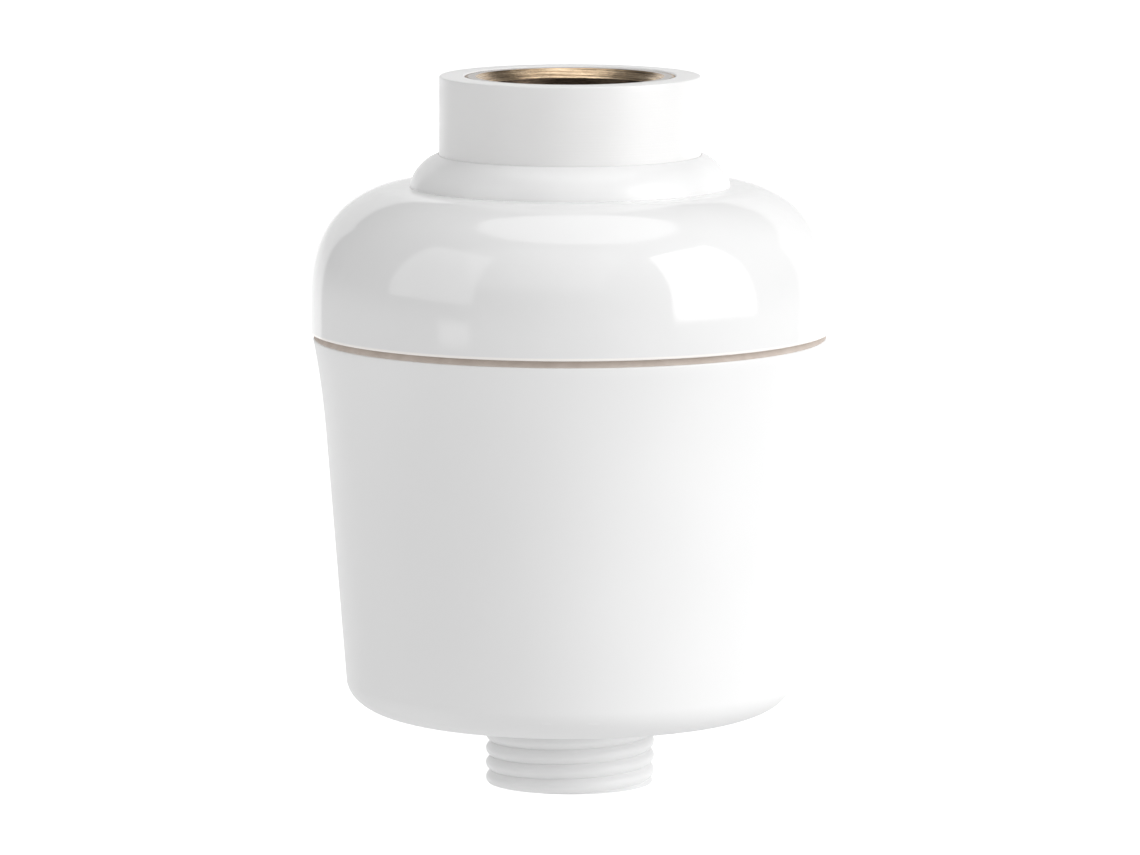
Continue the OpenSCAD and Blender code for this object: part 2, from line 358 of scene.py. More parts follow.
def fins(name, outline, thickness, angles):
    """Flat fins that stand in planes through the axis. The outline is a list of (r, z)."""
    bm = bmesh.new()
    for angle in angles:
        a = math.radians(angle)
        along, across = Vector((math.cos(a), math.sin(a), 0)), Vector((-math.sin(a), math.cos(a), 0))
        sides = [
            [bm.verts.new((along * r + across * offset + Vector((0, 0, z))) * MM) for r, z in outline]
            for offset in (-thickness / 2, thickness / 2)
        ]
        bm.faces.new(sides[0])
        bm.faces.new(sides[1][::-1])
        for k in range(len(outline)):
            n = (k + 1) % len(outline)
            bm.faces.new((sides[0][n], sides[0][k], sides[1][k], sides[1][n]))
    bmesh.ops.recalc_face_normals(bm, faces=bm.faces)
    return finished(name, bm)


def fused(piece, addition, sharp=SMOOTH):
    """The union of a piece and an addition, which is removed."""
    union = piece.modifiers.new("union", "BOOLEAN")
    union.operation = "UNION"
    union.solver = "MANIFOLD"
    union.object = addition
    bpy.context.view_layer.update()
    evaluated = piece.evaluated_get(bpy.context.evaluated_depsgraph_get())
    mesh = bpy.data.meshes.new_from_object(evaluated)
    name = piece.name
    for used in (piece, addition):
        bpy.data.objects.remove(used)
    return shaded(name, mesh, sharp)


def strand(points, faces, path, radius, sides):
    """Adds a closed thin tube along a path to lists of points and faces."""
    first = len(points)
    for k, here in enumerate(path):
        along = (Vector(path[min(k + 1, len(path) - 1)]) - Vector(path[max(k - 1, 0)])).normalized()
        across = along.cross(Vector((0, 0, 1))).normalized()
        up = across.cross(along)
        for j in range(sides):
            a = TURN * j / sides
            points.append(Vector(here) + (across * math.cos(a) + up * math.sin(a)) * radius)
    for k in range(len(path) - 1):
        for j in range(sides):
            a, b = first + k * sides + j, first + k * sides + (j + 1) % sides
            faces.append((a, b, b + sides, a + sides))
    last = len(points) - sides
    faces.append([first + j for j in range(sides - 1, -1, -1)])
    faces.append([last + j for j in range(sides)])


# ---- Materials ----


class Surface:
    """A Principled material with short calls for the nodes that every finish needs."""

    def __init__(self, name):
        self.material = bpy.data.materials.new(name)
        self.material.use_nodes = True
        self.nodes = self.material.node_tree.nodes
        self.links = self.material.node_tree.links
        self.shader = self.nodes["Principled BSDF"]
        self.place = self.nodes.new("ShaderNodeTexCoord").outputs["Object"]

    def set(self, **values):
        """Values on the shader's own sockets."""
        for key, value in values.items():
            self.shader.inputs[key.replace("_", " ")].default_value = value

    def link(self, out, socket):
        self.links.new(out, self.shader.inputs[socket])

    def stretched(self, x, y, z):
        """Object coordinates in mm, scaled along each axis."""
        node = self.nodes.new("ShaderNodeMapping")
        node.inputs["Scale"].default_value = (x / MM, y / MM, z / MM)
        self.links.new(self.place, node.inputs["Vector"])
        return node.outputs["Vector"]

    def noise(self, scale, detail=2.0, roughness=0.5, stretch=(1, 1, 1)):
        """Noise from 0 to 1, with scale in cycles a mm."""
        node = self.nodes.new("ShaderNodeTexNoise")
        node.inputs["Scale"].default_value = scale
        node.inputs["Detail"].default_value = detail
        node.inputs["Roughness"].default_value = roughness
        self.links.new(self.stretched(*stretch), node.inputs["Vector"])
        return node.outputs["Fac"]

    def facing(self):
        """How far the surface faces up, from -1 to 1."""
        way = self.nodes.new("ShaderNodeSeparateXYZ")
        self.links.new(self.nodes.new("ShaderNodeTexCoord").outputs["Normal"], way.inputs["Vector"])
        return way.outputs["Z"]

    def height(self):
        """Height in mm."""
        way = self.nodes.new("ShaderNodeSeparateXYZ")
        self.links.new(self.stretched(1, 1, 1), way.inputs["Vector"])
        return way.outputs["Z"]

    def window(self, value, start, end, at_start=0.0, at_end=1.0):
        """Goes from one value to another as its input goes from start to end."""
        node = self.nodes.new("ShaderNodeMapRange")
        node.inputs["From Min"].default_value = start
        node.inputs["From Max"].default_value = end
        node.inputs["To Min"].default_value = at_start
        node.inputs["To Max"].default_value = at_end
        self.links.new(value, node.inputs["Value"])
        return node.outputs["Result"]

    def mixed(self, share, a, b):
        """Colour a where share is 0 and b where it is 1. Either may be a colour or a socket."""
        node = self.nodes.new("ShaderNodeMix")
        node.data_type = "RGBA"
        self.links.new(share, node.inputs["Factor"])
        for colour, socket in ((a, node.inputs[6]), (b, node.inputs[7])):
            if isinstance(colour, tuple):
                socket.default_value = (*colour, 1)
            else:
                self.links.new(colour, socket)
        return node.outputs[2]

    def ramp(self, value, stops):
        """Colours at positions along a value from 0 to 1."""
        node = self.nodes.new("ShaderNodeValToRGB")
        ends = node.color_ramp.elements
        while len(ends) < len(stops):
            ends.new(0.5)
        for end, (position, colour) in zip(ends, stops):
            end.position = position
            end.color = (*colour, 1)
        self.links.new(value, node.inputs["Fac"])
        return node.outputs["Color"]

    def spread(self, value, low_value, high_value):
        """A value from 0 to 1 spread between two others."""
        return self.window(value, 0, 1, low_value, high_value)

    def bump(self, height, distance, strength=1.0, under=None):
        """Bump of a height in mm, on top of another bump."""
        node = self.nodes.new("ShaderNodeBump")
        node.inputs["Strength"].default_value = strength
        node.inputs["Distance"].default_value = distance * MM
        self.links.new(height, node.inputs["Height"])
        if under is not None:
            self.links.new(under, node.inputs["Normal"])
        self.link(node.outputs["Normal"], "Normal")
        return node.outputs["Normal"]


def white(k, warmth=0.0):
    """A grey of brightness k, a little redder and less blue where warmth is above 0."""
    return (k * (1 + warmth), k, k * (1 - warmth))


def gloss_white(name, smooth, dull, ior):
    """Polished moulded plastic, with a slight orange peel. Next to the gasket its lowest edge is painted
    paler and warmer, a painted highlight for light that the edge catches and the gasket bounces.
    """
    s = Surface(name)
    s.set(IOR=ior)
    shell = s.ramp(s.noise(0.09, 3), [(0.3, white(0.825)), (0.7, white(0.845))])
    # Painted highlight: the cap's lowest 0.4 mm is painted pale and warm, fully so below 0.25 mm.
    edge = s.window(s.height(), CAP_Z + 0.4, CAP_Z + 0.25)
    s.link(s.mixed(edge, shell, (0.98, 0.95, 0.92)), "Base Color")
    s.link(s.spread(s.noise(0.35, 4), smooth, dull), "Roughness")
    peel = s.bump(s.noise(0.22, 2), 0.05, 0.5)
    s.bump(s.noise(2.5, 2), 0.004, 0.4, peel)
    return s.material


def satin_white():
    """Finely grained moulded plastic."""
    s = Surface("satin_white")
    s.set(IOR=1.5)
    s.link(s.ramp(s.noise(0.03, 2), [(0.3, white(0.855)), (0.7, white(0.89))]), "Base Color")
    s.link(s.spread(s.noise(0.12, 4), 0.38, 0.5), "Roughness")
    grain = s.bump(s.noise(4.0, 3), 0.01, 0.35)
    s.bump(s.noise(0.1, 2), 0.08, 0.3, grain)
    return s.material


def lined_white():
    """Plastic with fine turned lines."""
    s = Surface("lined_white")
    s.set(IOR=1.5)
    s.link(s.ramp(s.noise(0.1, 3), [(0.3, white(0.815, 0.004)), (0.7, white(0.835, 0.004))]), "Base Color")
    s.link(s.spread(s.noise(0.3, 4, 0.6, (0.3, 0.3, 3)), 0.25, 0.42), "Roughness")
    lines = s.bump(s.noise(1.0, 4, 0.7, (0.05, 0.05, 5)), 0.03, 0.6)
    s.bump(s.noise(0.45, 3, 0.6, (1, 1, 1.6)), 0.05, 0.35, lines)
    return s.material


def turned_brass():
    """Turned lines round the axis. Faces that look up are milled paler, and upright walls are painted dark
    brown, a painted shade for the bore and the knurl's notches.
    """
    s = Surface("turned_brass")
    s.set(Metallic=1.0)
    streaks = s.noise(1.0, 4, 0.7, (0.1, 0.1, 6))
    dark, middle, light = (0.24, 0.17, 0.11), (0.58, 0.43, 0.28), (0.90, 0.72, 0.51)
    turned = s.ramp(streaks, [(0.36, dark), (0.5, middle), (0.64, light)])
    # Painted shade: upright walls, in the bore and the knurl's notches, are painted a near-black brown.
    upright = s.window(s.facing(), 0.55, 0.25)
    milled = s.window(s.facing(), 0.9, 0.97)
    turned_with_painted_shade = s.mixed(upright, turned, (0.10, 0.075, 0.055))
    s.link(s.mixed(milled, turned_with_painted_shade, (0.70, 0.67, 0.65)), "Base Color")
    worn = s.spread(s.noise(1.2, 3, 0.5, (0.2, 0.2, 3)), 0.15, 0.32)
    s.link(s.mixed(milled, worn, (0.5, 0.5, 0.5)), "Roughness")
    s.bump(streaks, 0.07, 1.0)
    return s.material


def rubber(name, dark, light):
    """Matt rubber with a fine grain."""
    s = Surface(name)
    s.set(IOR=1.5)
    s.link(s.ramp(s.noise(0.5, 4), [(0.3, dark), (0.7, light)]), "Base Color")
    s.link(s.spread(s.noise(1.5, 3), 0.6, 0.85), "Roughness")
    s.bump(s.noise(3, 3), 0.02, 0.5)
    return s.material


def wire_steel():
    """Drawn stainless wire."""
    s = Surface("wire_steel")
    s.set(Metallic=1.0)
    s.link(s.ramp(s.noise(1.5, 3), [(0.3, (0.50, 0.50, 0.51)), (0.7, (0.66, 0.66, 0.67))]), "Base Color")
    s.link(s.spread(s.noise(2.0, 3), 0.22, 0.4), "Roughness")
    s.bump(s.noise(6, 2), 0.01, 0.5)
    return s.material


def waxy_white():
    """Slightly translucent low-friction plastic, with turned marks."""
    s = Surface("waxy_white")
    s.set(IOR=1.38, Subsurface_Weight=0.15, Subsurface_Scale=0.001)
    s.link(s.ramp(s.noise(0.5, 3), [(0.3, (0.80, 0.80, 0.77)), (0.7, (0.86, 0.86, 0.84))]), "Base Color")
    s.link(s.spread(s.noise(1.0, 3), 0.32, 0.5), "Roughness")
    s.bump(s.noise(1.0, 3, 0.5, (0.1, 0.1, 4)), 0.02, 0.5)
    return s.material


def moulded_plastic():
    """Satin plastic with faint flow marks."""
    s = Surface("moulded_plastic")
    s.set(IOR=1.49)
    flow = s.noise(0.12, 4, 0.6, (1, 1, 0.35))
    s.link(s.ramp(flow, [(0.3, (0.79, 0.81, 0.81)), (0.7, (0.86, 0.87, 0.87))]), "Base Color")
    s.link(s.spread(s.noise(0.5, 4), 0.34, 0.52), "Roughness")
    s.bump(s.noise(3.5, 3), 0.012, 0.4, s.bump(flow, 0.08, 0.3))
    return s.material


def soft_fibre(name, dark, light, sheen):
    """Cotton or non-woven cloth: long crossing fibres in a mat."""
    s = Surface(name)
    s.set(Sheen_Weight=sheen, Sheen_Roughness=0.5, Specular_IOR_Level=0.25)
    one = s.noise(2.2, 4, 0.65, (0.35, 1.8, 1))
    other = s.noise(2.2, 4, 0.65, (1.8, 0.35, 1))
    s.link(s.ramp(one, [(0.35, dark), (0.65, light)]), "Base Color")
    s.link(s.spread(other, 0.8, 0.98), "Roughness")
    s.bump(one, 0.12, 0.6, s.bump(other, 0.12, 0.6))
    return s.material


def grains(name, dark, light, grain, shine, metal=0.0):
    """Beads or granules: mottled from one to the next, with a fine grain on each."""
    s = Surface(name)
    s.set(Metallic=metal)
    s.link(s.ramp(s.noise(grain, 3, 0.6), [(0.35, dark), (0.65, light)]), "Base Color")
    s.link(s.spread(s.noise(grain * 3, 3), shine, min(1.0, shine + 0.25)), "Roughness")
    s.bump(s.noise(grain * 8, 3, 0.7), 0.05, 0.6)
    return s.material


GLOSS = gloss_white("gloss_white", 0.07, 0.13, 1.52)
SOFT_GLOSS = gloss_white("soft_gloss_white", 0.2, 0.28, 1.4)
SATIN = satin_white()
LINED = lined_white()
BRASS = turned_brass()
TAN_RUBBER = rubber("tan_rubber", (0.52, 0.45, 0.40), (0.60, 0.53, 0.48))
BLACK_RUBBER = rubber("black_rubber", (0.012, 0.012, 0.012), (0.03, 0.03, 0.03))
STEEL = wire_steel()
WAXY = waxy_white()
CARTRIDGE = moulded_plastic()
COTTON = soft_fibre("filter_cotton", (0.80, 0.80, 0.77), (0.90, 0.90, 0.88), 0.35)
CLOTH = soft_fibre("divider_cloth", (0.72, 0.72, 0.70), (0.86, 0.86, 0.84), 0.2)
SULFITE = grains("sulfite", (0.80, 0.79, 0.75), (0.92, 0.91, 0.88), 0.5, 0.55)
COPPER_ZINC = grains("copper_zinc", (0.52, 0.33, 0.12), (0.83, 0.60, 0.28), 0.8, 0.3, metal=1.0)
CERAMIC = grains("ceramic", (0.46, 0.30, 0.20), (0.66, 0.48, 0.35), 0.3, 0.6)
CARBON = grains("carbon", (0.010, 0.010, 0.011), (0.045, 0.045, 0.047), 0.7, 0.35)


def place(piece, node, body, slot, material):
    """Gives a piece its finish and puts it in the place of a CAD node."""
    piece.data.materials.clear()
    piece.data.materials.append(material)
    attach(piece, body)
    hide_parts(node)


# ---- Housing ----


def cup_r(k):
    """Outside radius at a share k of the height from the bottom corner to the lip."""
    flare = max(0.0, (k - FLARE_FROM) / (1 - FLARE_FROM)) ** FLARE_POWER
    return CUP_BASE_R + CUP_TAPER * (LIP_Z - OUTLET_H - CORNER_H) * k + FLARE_W * flare


def outlet_radius(angle, z):
    """Round crests with a narrow root between them, cut back at the end of the spigot."""
    u = ((z - OUTLET_ROOT_Z) / PITCH - angle / TURN) % 1
    crest = OUTLET_R - OUTLET_DEPTH * abs(2 * u - 1) ** OUTLET_POWER
    return min(crest, OUTLET_R - OUTLET_CHAMFER + z)


def ridge_height(angle, z, start_angle=0.0):
    """Height of the cap thread's ridge, which fades out over a quarter turn at each end."""
    best = 0.0
    for turn in (-1, 0, 1, 2):
        t = turn + (angle - start_angle) / TURN
        if not 0 <= t <= CAP_TURNS:
            continue
        gap = abs(z - CAP_THREAD_Z - CAP_LEAD * t)
        flank = (RIDGE_FOOT - gap) / (RIDGE_FOOT - RIDGE_TOP)
        fade = min(1.0, 4 * t, 4 * (CAP_TURNS - t))
        best = max(best, max(0.0, min(1.0, flank)) * fade)
    return best


def housing_cup():
    phases = [k / OUTLET_ROWS for k in range(OUTLET_ROWS)]
    thread = screw_rows(outlet_radius, 0, OUTLET_H, PITCH, OUTLET_ROOT_Z, phases)
    corner = [
        (CUP_BASE_R - CORNER_W * (1 - math.sin(a)), OUTLET_H + CORNER_H * (1 - math.cos(a)))
        for a in (math.radians(90 * k / 24) for k in range(25))
    ]
    side_h = LIP_Z - OUTLET_H - CORNER_H - LIP_ROUND
    side = [(cup_r(k / 40), OUTLET_H + CORNER_H + side_h * k / 40) for k in range(1, 41)]
    lip = arc((cup_r(1) - LIP_ROUND, LIP_Z - LIP_ROUND), LIP_ROUND, LIP_ANGLE, 90)
    ridge = screw_rows(
        lambda angle, z: NECK_R + ridge_height(angle, z),
        LIP_Z,
        NECK_Z - NECK_CHAMFER,
        CAP_LEAD,
        CAP_THREAD_Z,
        RIDGE_PHASES,
    )
    section = [(OUTLET_BORE_R, OUTLET_BORE_CHAMFER), (OUTLET_BORE_R + OUTLET_BORE_CHAMFER, 0)]
    section += thread + corner + side + lip + ridge
    section += [(NECK_R - NECK_CHAMFER, NECK_Z), (NECK_BORE_R + NECK_BORE_CHAMFER, NECK_Z)]
    section += [(NECK_BORE_R, NECK_Z - NECK_BORE_CHAMFER), (NECK_BORE_R, LIP_Z)]
    section += [(CAVITY_R, CAVITY_Z + CAVITY_CHAMFER), (CAVITY_R - CAVITY_CHAMFER, CAVITY_Z)]
    section += [(OUTLET_BORE_R + OUTLET_BORE_MOUTH, CAVITY_Z)]
    section += [(OUTLET_BORE_R, CAVITY_Z - OUTLET_BORE_MOUTH)]
    return fused(lathe("cup", section, sharp=50), cup_guides(), sharp=50)


def cup_guides():
    """Pairs of fins inside the cup, on both sides of each of the cartridge's keys, with feet under it."""
    floor_z, rest_z = CAVITY_Z - GUIDE_FLOOR_SUNK, CARTRIDGE_Z - GUIDE_GAP
    wall_r, top_z = NECK_BORE_R + GUIDE_WALL_SUNK, CAVITY_Z + GUIDE_H
    outline = [(GUIDE_FOOT_R, floor_z), (GUIDE_FOOT_R, rest_z), (GUIDE_R, rest_z)]
    outline += [(GUIDE_R, top_z - GUIDE_CHAMFER_H), (GUIDE_R + GUIDE_CHAMFER_W, top_z)]
    outline += [(wall_r, top_z), (wall_r, floor_z)]
    angles = [quarter + side for quarter in (0, 90, 180, 270) for side in (-GUIDE_SPREAD, GUIDE_SPREAD)]
    return fins("guides", outline, GUIDE_W, angles)


def housing_gasket():
    """Its lower edge reaches the cup's lip, and its upper one is set back under the cap."""
    inner = NECK_R + GASKET_SLACK
    foot = cup_r(1) - GASKET_FOOT_BACK
    top = GASKET_R - GASKET_TOP_BACK
    waist = (foot - GASKET_WAIST_W, LIP_Z + GASKET_WAIST_H)
    section = [(inner, LIP_Z), (foot, LIP_Z), (foot + GASKET_BEAD_W, LIP_Z + GASKET_BEAD_H)]
    section += line(waist, (top, CAP_Z - GASKET_TOP_W), 5)
    section += [(top, CAP_Z - GASKET_TOP_H), (top - GASKET_TOP_W, CAP_Z), (inner, CAP_Z)]
    return lathe("cup_gasket", section)


# ---- Cap ----


def cap_shell():
    edge = arc((CAP_R - EDGE_ROUND, CAP_Z + EDGE_ROUND), EDGE_ROUND, -90, 0, 10)
    dome = dome_arc(DOME_W, DOME_H, 128, NECK_RING_R)
    outside = [(r, soft_min(z, SHOULDER_Z, SHOULDER_BLEND)) for r, z in dome]
    inside = dome_arc(DOME_W - DOME_WALL, DOME_H - DOME_WALL, 32, WEB_R)
    inside = [point for point in inside if point[1] > SKIRT_Z]
    step_r = inside[0][0]
    ridge = screw_rows(
        lambda angle, z: SKIRT_R - ridge_height(angle, z, math.pi),
        CAP_Z + SKIRT_CHAMFER,
        SKIRT_Z,
        CAP_LEAD,
        CAP_THREAD_Z + CAP_LEAD / 2,
        RIDGE_PHASES,
    )
    section = [(SKIRT_R + SKIRT_CHAMFER, CAP_Z)] + edge + outside
    section += [(NECK_RING_R, SEAT_Z), (TAIL_HOLE_R, SEAT_Z), (TAIL_HOLE_R, BOSS_Z + BOSS_CHAMFER)]
    section += [(TAIL_HOLE_R + BOSS_CHAMFER, BOSS_Z), (BOSS_R - BOSS_CHAMFER, BOSS_Z)]
    section += [(BOSS_R, BOSS_Z + BOSS_CHAMFER)] + groove("neck_o_ring", BOSS_R)
    section += [(BOSS_R, WEB_Z), (WEB_R, WEB_Z)] + inside[::-1]
    section += [(step_r, SKIRT_Z)] + ridge[::-1]
    return fused(lathe("cap", section), cap_ribs(inside))


def cap_ribs(inside):
    """Ribs between the boss and the dome, whose inside is given. They are sunk a little into both."""
    web_z, boss_r = WEB_Z + RIB_SUNK, BOSS_R - RIB_BOSS_SUNK
    outline = [(r + RIB_SUNK, z + RIB_RISE) for r, z in inside if z > RIB_Z]
    outline += [(WEB_R, web_z), (boss_r, web_z), (boss_r, RIB_Z), (outline[0][0], RIB_Z)]
    return fins("ribs", outline, RIB_W, [360 * k / RIB_COUNT for k in range(RIB_COUNT)])


def neck_ring():
    edge_r = CROWN_BORE_R + CROWN_EDGE
    foot = math.degrees(math.asin((CROWN_FOOT_Z - CROWN_C[1]) / CROWN_R))
    top = math.degrees(math.acos((edge_r - CROWN_C[0]) / CROWN_R))
    section = [(CROWN_CAVITY_R, SEAT_Z), (NECK_RING_R, SEAT_Z), (NECK_RING_R, CROWN_FOOT_Z)]
    section += arc(CROWN_C, CROWN_R, foot, top, 24)
    crown_z = section[-1][1]
    section += arc((edge_r, crown_z - CROWN_EDGE), CROWN_EDGE, CROWN_EDGE_ANGLE, 180)[1:]
    section += [(CROWN_BORE_R, CROWN_LIP_Z), (CROWN_CAVITY_R, CROWN_LIP_Z)]
    return lathe("neck_cover", section)


# ---- Swivelling inlet ----


def groove(ring, wall_r):
    """The corners of an O-ring's groove in an outer wall, from the bottom up."""
    wire = (high(ring).z - low(ring).z) / 2
    middle = (high(ring).z + low(ring).z) / 2
    floor_r = high(ring).x - wire - wire * GROOVE_REACH
    bottom, top = middle - wire - GROOVE_PLAY, middle + wire + GROOVE_PLAY
    return [(wall_r, bottom), (floor_r, bottom), (floor_r, top), (wall_r, top)]


def inlet_collar():
    rim_z = RIM_Z - RIM_ROUND
    flange_top, foot_r = FLANGE_Z + FLANGE_T, COLLAR_R + COLLAR_DRAFT
    section = [(TAIL_BORE_R + TAIL_BORE_CHAMFER, TAIL_Z), (TAIL_R - TAIL_CHAMFER, TAIL_Z)]
    section += [(TAIL_R, TAIL_Z + TAIL_CHAMFER)] + groove("swivel_o_ring", TAIL_R)
    section += [(TAIL_R, FLANGE_Z), (FLANGE_R - FLANGE_CHAMFER, FLANGE_Z)]
    section += [(FLANGE_R, FLANGE_Z + FLANGE_CHAMFER), (FLANGE_R, flange_top)]
    section += [(foot_r + COLLAR_FILLET, flange_top)]
    section += line((foot_r, flange_top + COLLAR_FILLET), (COLLAR_R, rim_z), 12)
    section += arc((COLLAR_R - RIM_ROUND, rim_z), RIM_ROUND, 0, 90, 6)
    section += [(INSERT_R + COLLAR_BORE_CHAMFER, RIM_Z), (INSERT_R, RIM_Z - COLLAR_BORE_CHAMFER)]
    section += [(INSERT_R, WASHER_Z), (TAIL_BORE_R, WASHER_Z), (TAIL_BORE_R, TAIL_Z + TAIL_BORE_CHAMFER)]
    return lathe("collar", section)


def inlet_radius(angle, z):
    """Crests of the female thread, with flat roots between sloping flanks."""
    u = ((z - WASHER_Z - RELIEF_H) / PITCH - angle / TURN) % 1
    from_root = min(u, 1 - u) * PITCH
    return INLET_CREST_R + INLET_DEPTH * max(0.0, min(1.0, (INLET_FLANK_END - from_root) / INLET_FLANK_W))


def inlet_insert():
    """Brass with a knurled outside, whose female thread opens through a plain bore into a cone."""
    columns = TOOTH_COUNT * 4
    bore_r = MOUTH_R - MOUTH_H
    thread_z, thread_top = WASHER_Z + RELIEF_H, INSERT_TOP - THREAD_TOP

    def tooth(r, z):
        def row(angle):
            notch = round(angle / TURN * columns) % 4 < 2
            return r - (TOOTH_DEPTH if notch else 0), z

        return row

    thread = screw_rows(inlet_radius, thread_z, thread_top, PITCH, thread_z, INLET_PHASES)
    section = [(INSERT_R, WASHER_Z), tooth(INSERT_R, INSERT_TOP - TOOTH_H)]
    section += [tooth(INSERT_R, INSERT_TOP - TOOTH_CHAMFER), tooth(INSERT_R - TOOTH_CHAMFER, INSERT_TOP)]
    section += [(INSERT_R - INSERT_RING_W, INSERT_TOP), (MOUTH_R, INSERT_TOP)]
    section += [(bore_r, INSERT_TOP - MOUTH_H), (bore_r, thread_top)] + thread[::-1]
    section += [(RELIEF_R, thread_z), (RELIEF_R, WASHER_Z)]
    return lathe("insert", section, columns)


def inlet_washer():
    r_out, r_in = high("inlet_washer").x - WASHER_ROUND, WASHER_BORE_R + WASHER_ROUND
    z0, z1 = WASHER_Z + WASHER_ROUND, high("inlet_washer").z - WASHER_ROUND
    section = []
    for quarter, corner in enumerate(((r_out, z0), (r_out, z1), (r_in, z1), (r_in, z0))):
        start = 90 * quarter - 90
        section += arc(corner, WASHER_ROUND, start, start + 90, 5)
    return lathe("washer", section)


def woven_screen(name, node, rim_w, pitch):
    """Plain-woven wires in a flat rim, so thick that two of them that cross fill the screen's thickness."""
    r, z0, z1 = high(node).x, low(node).z, high(node).z
    middle, wave_h = (z0 + z1) / 2, (z1 - z0) * SCREEN_WIRE_SHARE
    reach = r - rim_w / 2
    points, faces = [], []
    count = int(reach / pitch)
    for i in range(-count, count + 1):
        half = math.sqrt(reach**2 - (i * pitch) ** 2)
        steps = max(2, round(4 * half / pitch))
        for axis in (0, 1):
            path = []
            for k in range(steps + 1):
                t = -half + 2 * half * k / steps
                z = middle + wave_h * math.cos(math.pi * (t / pitch + i + axis))
                path.append((t, i * pitch, z) if axis == 0 else (i * pitch, t, z))
            strand(points, faces, path, wave_h * SCREEN_WIRE_SLACK, 6)
    r_in, c = r - rim_w, SCREEN_CHAMFER
    rim = [(r_in, z0 + c), (r_in + c, z0), (r - c, z0), (r, z0 + c)]
    rim += [(r, z1 - c), (r - c, z1), (r_in + c, z1), (r_in, z1 - c)]
    return joined(name, [from_lists("wires", points, faces), lathe("rim", rim, 144)])


# ---- Cartridge ----


def layer(name, node, rings, columns, depth, edge):
    """A round layer as one closed mesh, that fills its CAD node's space.

    depth(x, y) is how far, in mm, a point of either face lies below the full height. Edge is the radius that
    rounds the rim.
    """
    r_out, z0, z1 = high(node).x, low(node).z, high(node).z
    bm = bmesh.new()
    skins = []
    for level, side in ((z0, 1), (z1, -1)):
        middle = bm.verts.new((0, 0, (level + side * depth(0, 0)) * MM))
        rows = []
        for k in range(1, rings + 1):
            r = (r_out - edge) * k / rings
            row = []
            for c in range(columns):
                x, y = r * math.cos(TURN * c / columns), r * math.sin(TURN * c / columns)
                row.append(bm.verts.new((x * MM, y * MM, (level + side * depth(x, y)) * MM)))
            rows.append(row)
        skins.append((middle, rows))
    walls = []
    for k in range(5):
        a = math.pi * (k / 4 - 0.5)
        r = r_out - edge + edge * math.cos(a)
        z = (z0 + z1) / 2 + ((z1 - z0) / 2 - 0.1) * math.sin(a)
        turns = [TURN * c / columns for c in range(columns)]
        walls.append([bm.verts.new((r * math.cos(t) * MM, r * math.sin(t) * MM, z * MM)) for t in turns])
    (low_middle, low_rows), (high_middle, high_rows) = skins
    rows = low_rows + walls + high_rows[::-1]
    for here, there in zip(rows, rows[1:]):
        for c in range(columns):
            n = (c + 1) % columns
            bm.faces.new((here[c], here[n], there[n], there[c]))
    for middle, row in ((low_middle, low_rows[0]), (high_middle, high_rows[0])):
        for c in range(columns):
            bm.faces.new((middle, row[c], row[(c + 1) % columns]))
    bmesh.ops.recalc_face_normals(bm, faces=bm.faces)
    return finished(name, bm)


def cotton_pad(name, node, seed):
    """A lumpy pad with loose fibres lying on both faces."""
    dice = random.Random(seed)
    r_out, z0, z1 = high(node).x, low(node).z, high(node).z

    def depth(x, y):
        lumps = noise.fractal(Vector((x * 0.35, y * 0.35, seed)), 0.7, 2.0, 4)
        return PAD_SUNK + PAD_LUMPS * max(-1.0, min(1.0, lumps))

    pad = layer(name, node, 40, 144, depth, PAD_ROUND)
    points, faces = [], []
    for _ in range(FIBRE_COUNT):
        a, r = dice.uniform(0, TURN), (r_out - FIBRE_START_BACK) * math.sqrt(dice.random())
        x, y = r * math.cos(a), r * math.sin(a)
        way, bend = dice.uniform(0, TURN), dice.uniform(-FIBRE_BEND, FIBRE_BEND)
        top = dice.random() < 0.5
        path = []
        for k in range(FIBRE_POINTS):
            if math.hypot(x, y) > r_out - FIBRE_END_BACK:
                break
            sunk = depth(x, y) - 0.06 - 0.1 * math.sin(math.pi * k / (FIBRE_POINTS - 1))
            path.append((x, y, z1 - sunk if top else z0 + sunk))
            x += FIBRE_STEP * math.cos(way)
            y += FIBRE_STEP * math.sin(way)
            way += bend
        if len(path) > 2:
            strand(points, faces, path, FIBRE_R, 4)
    pad = joined(name, [pad, from_lists("fibres", points, faces)])
    return pad


def cloth_divider(name, node):
    """A disc of non-woven cloth that lies on a bed, pressed together at a regular pattern of points."""

    def depth(x, y):
        u, v = (x + y) / CLOTH_POINT_GAP, (x - y) / CLOTH_POINT_GAP
        pressed = max(0.0, math.cos(math.pi * u) * math.cos(math.pi * v)) ** 3
        return CLOTH_SUNK * (1 + noise.noise(Vector((x, y, 0)) * 0.8)) + CLOTH_PRESS * pressed

    cloth = layer(name, node, 60, 180, depth, CLOTH_ROUND)
    return cloth


def ball(detail):
    """Points and triangles of a round grain of radius 1."""
    bm = bmesh.new()
    bmesh.ops.create_icosphere(bm, subdivisions=detail, radius=1)
    points = [vert.co.copy() for vert in bm.verts]
    triangles = [[vert.index for vert in face.verts] for face in bm.faces]
    bm.free()
    return points, triangles


